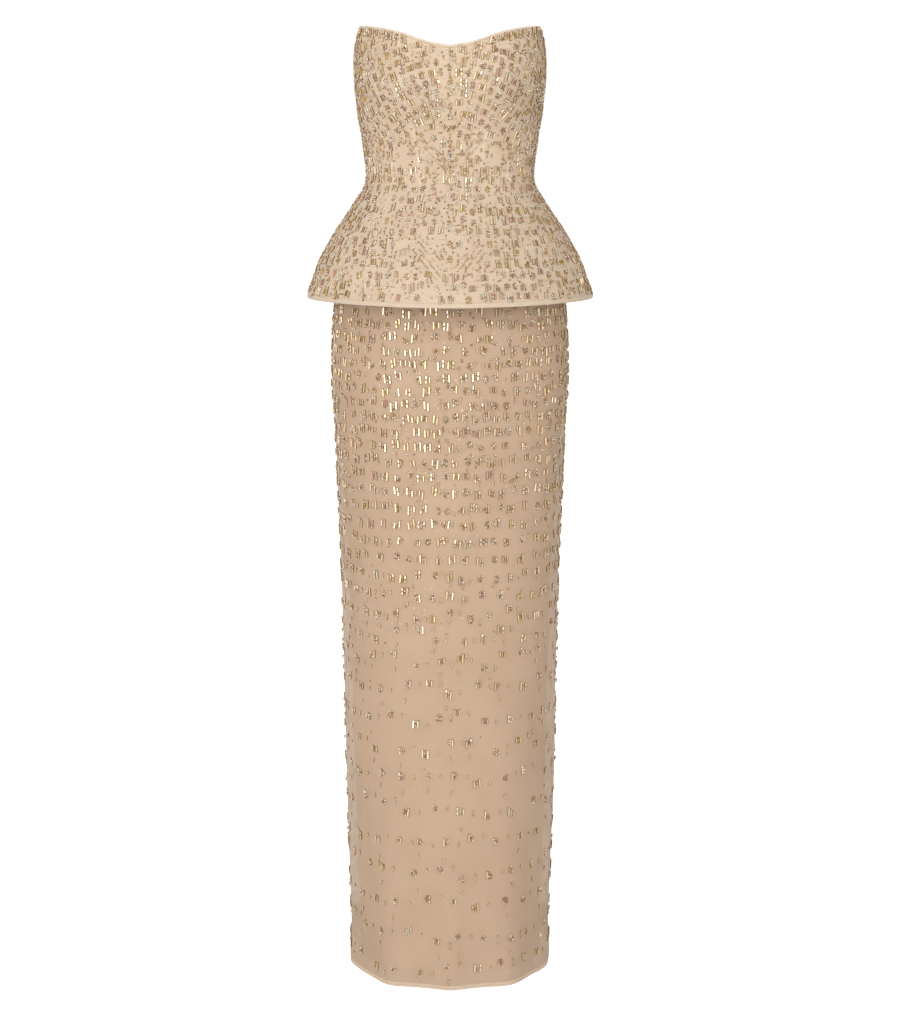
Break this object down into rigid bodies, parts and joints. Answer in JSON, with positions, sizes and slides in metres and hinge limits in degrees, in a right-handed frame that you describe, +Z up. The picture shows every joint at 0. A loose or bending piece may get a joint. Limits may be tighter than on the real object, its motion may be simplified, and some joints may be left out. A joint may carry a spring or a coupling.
{
  "type": "strapless bustier gown with a peplum",
  "caption": "Floor-length strapless bustier gown with a flared peplum and a straight beaded tulle skirt over a lining, hollow as worn.",
  "frame": {"origin": "middle of the waist seam on the body's axis, where the wearer's torso holds the gown up", "axes": "+Z up along the gown's length, the centre front faces -Y, +X towards the wearer's left"},
  "size_m": [0.4096, 0.323, 1.3645],
  "materials": {
    "beaded_bodice": "fine tulle over a nude base, sewn all over with small bugle and seed beads",
    "beaded_peplum": "stiffened tulle over a nude base, beaded",
    "sheer_tulle": "sheer net with scattered bead clusters",
    "lining": "smooth nude lining, soft sheen",
    "satin_binding": "plain satin edge",
    "zip_tape": "woven tape",
    "pale_brass": "polished, lacquered",
    "glass_beads": "silver-lined champagne, gold and rose glass beads and sequins",
    "thread": "sewing thread and zip coil"
  },
  "bodies": {
    "gown": {"bodice_centre_front_left": "beaded_bodice", "bodice_centre_front_right": "beaded_bodice", "bodice_side_front_left": "beaded_bodice", "bodice_side_front_right": "beaded_bodice", "bodice_side_left": "beaded_bodice", "bodice_side_right": "beaded_bodice", "bodice_back_left": "beaded_bodice", "bodice_back_right": "beaded_bodice", "neckline_binding": "satin_binding", "peplum_centre_front": "beaded_peplum", "peplum_side_left": "beaded_peplum", "peplum_side_right": "beaded_peplum", "peplum_back_left": "beaded_peplum", "peplum_back_right": "beaded_peplum", "skirt_overlay_front": "sheer_tulle", "skirt_overlay_back_left": "sheer_tulle", "skirt_overlay_back_right": "sheer_tulle", "skirt_lining_front": "lining", "skirt_lining_back_left": "lining", "skirt_lining_back_right": "lining", "zip_tape_left": "zip_tape", "zip_tape_right": "zip_tape", "zip_slider": "pale_brass"},
    "pull": {"zip_pull": "pale_brass"}
  },
  "joints": [
    {"name": "pull_tab_swing", "type": "hinge", "parent": "gown", "child": "pull", "pos_m": [0, 0.09086, 0.137], "axis": [1, 0, 0], "range_deg": [0, 150]}
  ]
}
